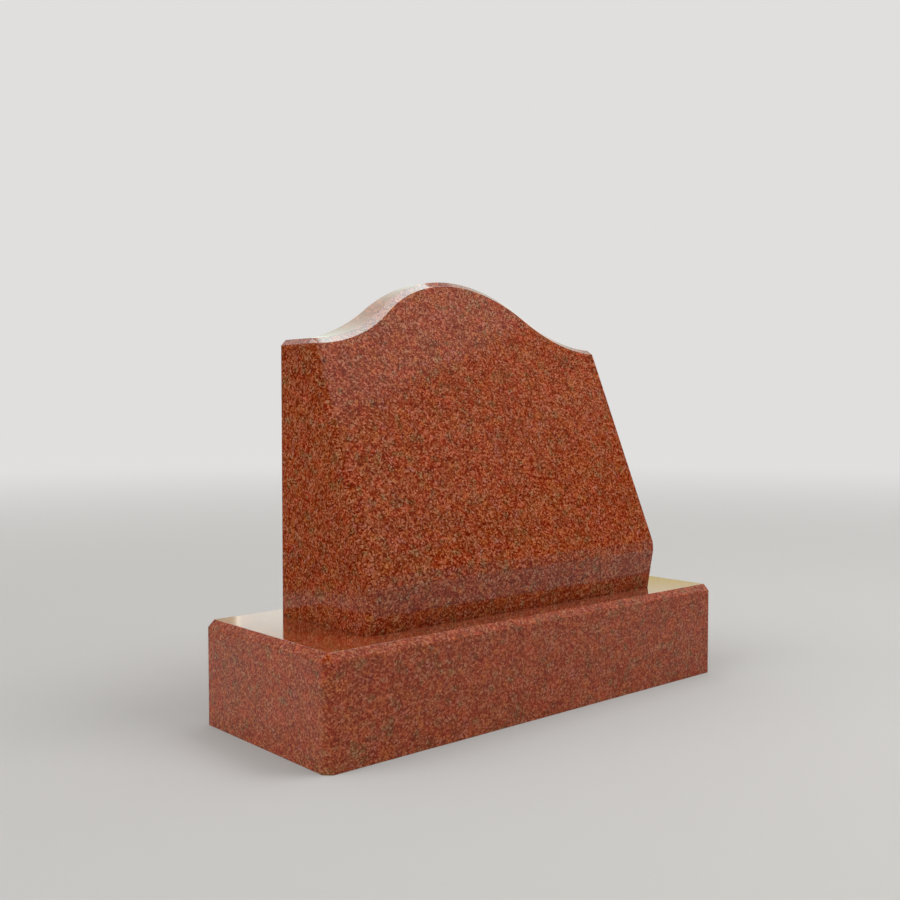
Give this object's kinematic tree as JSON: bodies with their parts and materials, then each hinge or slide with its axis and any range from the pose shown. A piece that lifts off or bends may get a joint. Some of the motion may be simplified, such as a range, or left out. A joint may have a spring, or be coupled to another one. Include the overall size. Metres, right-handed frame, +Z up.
{
  "type": "slant headstone",
  "caption": "Polished red granite slant headstone: a tablet with a serpentine top, slanted face and undercut nose, standing on a plain rectangular base.",
  "frame": {"origin": "middle of the base's underside", "axes": "+X along the width, -Y the way the slanted face looks, +Z up"},
  "size_m": [0.812, 0.3064, 0.6628],
  "materials": {
    "base_granite": "polished red granite, fine grained",
    "tablet_granite": "polished red granite, fine grained"
  },
  "bodies": {
    "root": {"base": "base_granite", "slant_tablet": "tablet_granite"}
  },
  "joints": []
}
